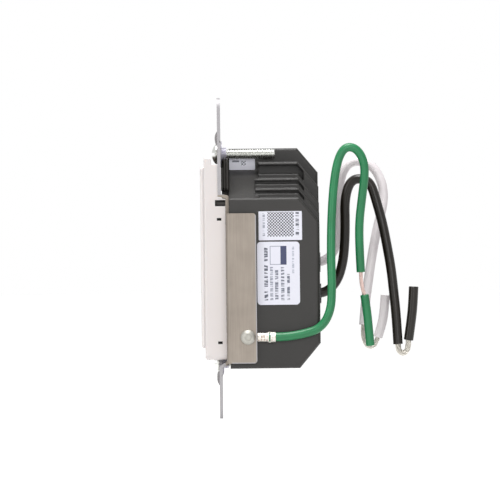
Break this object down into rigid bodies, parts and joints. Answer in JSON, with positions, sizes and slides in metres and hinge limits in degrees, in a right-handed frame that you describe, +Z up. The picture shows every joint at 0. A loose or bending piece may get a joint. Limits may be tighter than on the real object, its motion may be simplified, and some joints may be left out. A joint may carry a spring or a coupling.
{
  "type": "smart accessory light switch",
  "caption": "Wall-box rocker switch with a white paddle and frame, steel mounting strap, dark moulded housing with a terraced corner, captive screws and insulated leads.",
  "frame": {"origin": "centre of the two captive box screws, on the wall plane where the back of the strap ends rests", "axes": "+X into the wall, +Y across the switch, +Z up along the strap"},
  "size_m": [0.0722, 0.0478, 0.1062],
  "materials": {
    "strap_steel": "plated and lightly brushed",
    "white_plastic": "smooth moulded",
    "black_plastic": "matt moulded",
    "dark_plastic": "satin moulded",
    "screw_steel": "bright zinc",
    "clear_plastic": "translucent",
    "circuit_board": "coated",
    "radio_can": "plain",
    "ferrite": "matt",
    "capacitor_sleeve": "sleeve",
    "resistor_body": "coated",
    "brass_terminal": "plain",
    "label_film": "satin",
    "green_insulation": "satin",
    "black_insulation": "satin",
    "white_insulation": "satin",
    "bare_copper": "bright strands",
    "tinned_strands": "tinned strands"
  },
  "bodies": {
    "switch_body": {"mounting_strap": "strap_steel", "front_frame": "white_plastic", "front_cover": "black_plastic", "rear_housing": "dark_plastic", "upper_switch_case": "black_plastic", "lower_switch_case": "black_plastic", "control_board": "circuit_board", "power_board": "circuit_board", "board_connector": "black_plastic", "radio_module": "radio_can", "power_transformer": "ferrite", "filter_capacitor": "capacitor_sleeve", "fuse_resistor": "resistor_body", "rectifier": "black_plastic", "lead_terminals": "brass_terminal", "assembly_screws": "screw_steel", "line_lead_bushing": "dark_plastic", "neutral_lead_bushing": "dark_plastic", "ground_screw": "screw_steel", "ground_terminal": "screw_steel", "rating_label": "label_film", "code_label": "label_film", "corner_label": "label_film", "ground_lead": "green_insulation", "ground_lead_strands": "bare_copper", "ground_lead_slug": "green_insulation", "line_lead": "black_insulation", "line_lead_strands": "tinned_strands", "line_lead_slug": "black_insulation", "neutral_lead": "white_insulation", "neutral_lead_strands": "tinned_strands", "neutral_lead_slug": "white_insulation"},
    "paddle": {"paddle": "white_plastic"},
    "upper_stem": {"upper_switch_stem": "white_plastic"},
    "lower_stem": {"lower_switch_stem": "white_plastic"},
    "upper_carrier": {"upper_screw_retainer": "clear_plastic"},
    "lower_carrier": {"lower_screw_retainer": "clear_plastic"},
    "upper_screw": {"upper_mounting_screw": "screw_steel"},
    "lower_screw": {"lower_mounting_screw": "screw_steel"}
  },
  "joints": [
    {"name": "paddle_rock", "type": "hinge", "parent": "switch_body", "child": "paddle", "pos_m": [-0.0024, 0, 0.0004], "axis": [0, 1, 0], "range_deg": [-2.5, 2.5], "stiffness_Nm_per_rad": 0.8},
    {"name": "upper_stem_travel", "type": "slide", "parent": "switch_body", "child": "upper_stem", "axis": [1, 0, 0], "range_m": [-0.00077, 0.00077]},
    {"name": "lower_stem_travel", "type": "slide", "parent": "switch_body", "child": "lower_stem", "axis": [1, 0, 0], "range_m": [-0.00077, 0.00077]},
    {"name": "upper_screw_shift", "type": "slide", "parent": "switch_body", "child": "upper_carrier", "axis": [0, 0, 1], "range_m": [0, 0.00705]},
    {"name": "upper_screw_spin", "type": "hinge", "parent": "upper_carrier", "child": "upper_screw", "pos_m": [0, 0, 0.0346], "axis": [1, 0, 0], "continuous": true},
    {"name": "lower_screw_shift", "type": "slide", "parent": "switch_body", "child": "lower_carrier", "axis": [0, 0, -1], "range_m": [0, 0.00705]},
    {"name": "lower_screw_spin", "type": "hinge", "parent": "lower_carrier", "child": "lower_screw", "pos_m": [0, 0, -0.0346], "axis": [1, 0, 0], "continuous": true}
  ],
  "couplings": [
    {"joint": "upper_stem_travel", "follows": "paddle_rock", "m_per_rad": 0.0175},
    {"joint": "lower_stem_travel", "follows": "paddle_rock", "m_per_rad": -0.0175}
  ]
}
